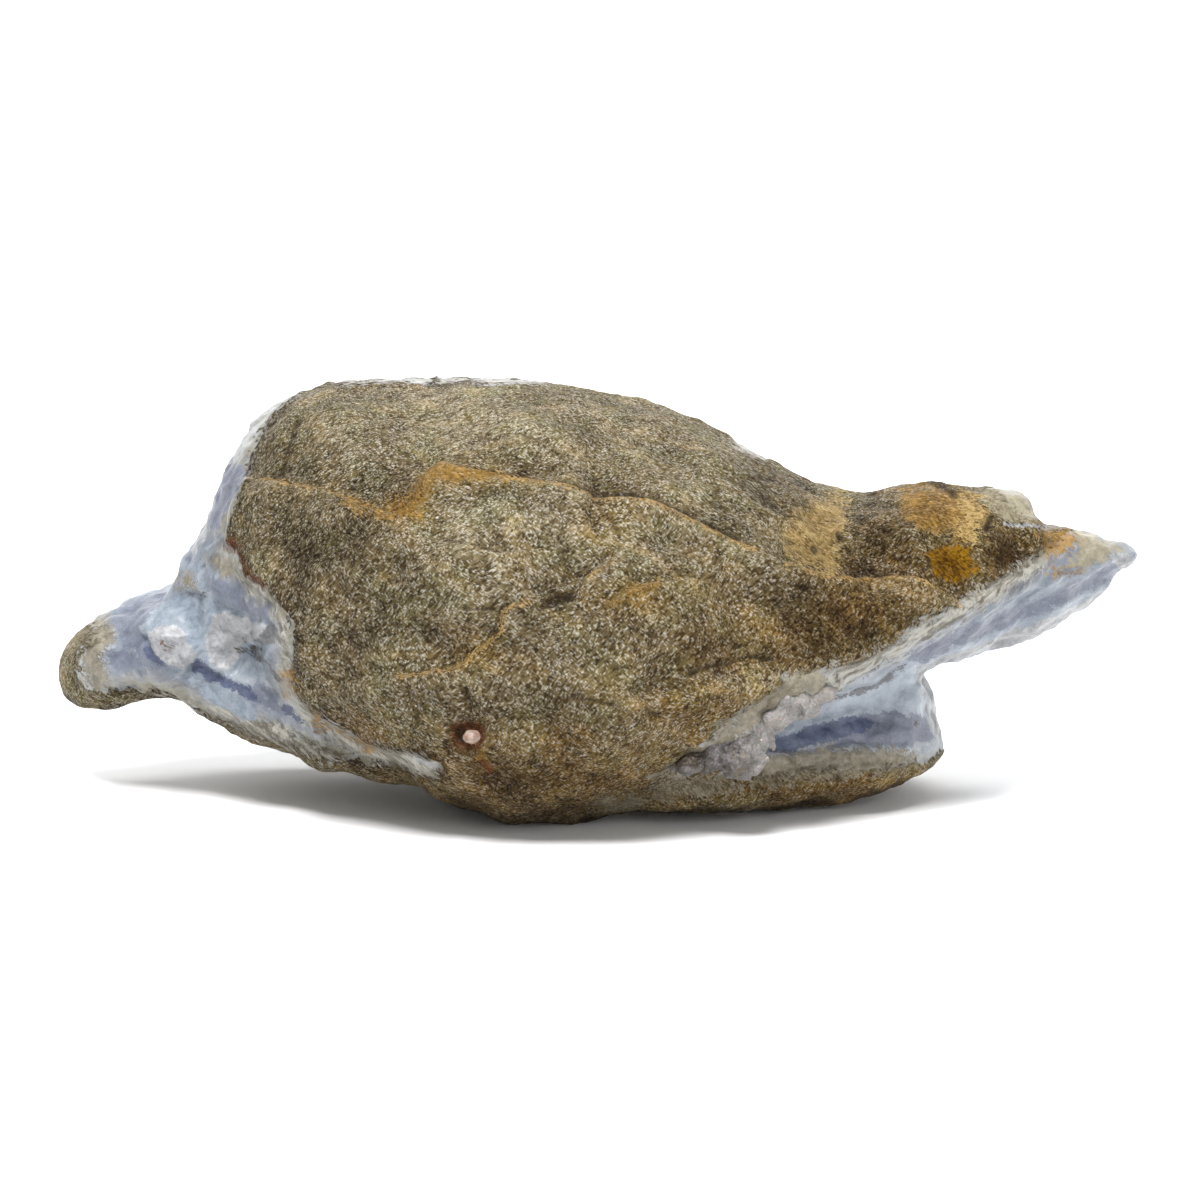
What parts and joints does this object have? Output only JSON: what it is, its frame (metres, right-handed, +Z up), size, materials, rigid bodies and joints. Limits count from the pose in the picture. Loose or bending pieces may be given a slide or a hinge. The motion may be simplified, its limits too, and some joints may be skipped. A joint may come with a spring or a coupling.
{
  "type": "agate geode",
  "caption": "A broken lump of pale blue chalcedony under a grainy brown rind, with a pointed end, a low tail, a sugary quartz crust in a hollow and a flat spot to rest on",
  "frame": {"origin": "bottom centre of the bounding box, on the plane the stone rests on", "axes": "+X along the stone towards its pointed end, +Z up, -Y towards the viewer and the side that the rind covers"},
  "size_m": [0.1514, 0.0638, 0.0576],
  "materials": {
    "stone": "matte",
    "hollow_crust": "satin",
    "quartz_bead": "satin"
  },
  "bodies": {
    "root": {"stone": "stone", "hollow_crust": "hollow_crust", "quartz_bead": "quartz_bead"}
  },
  "joints": []
}
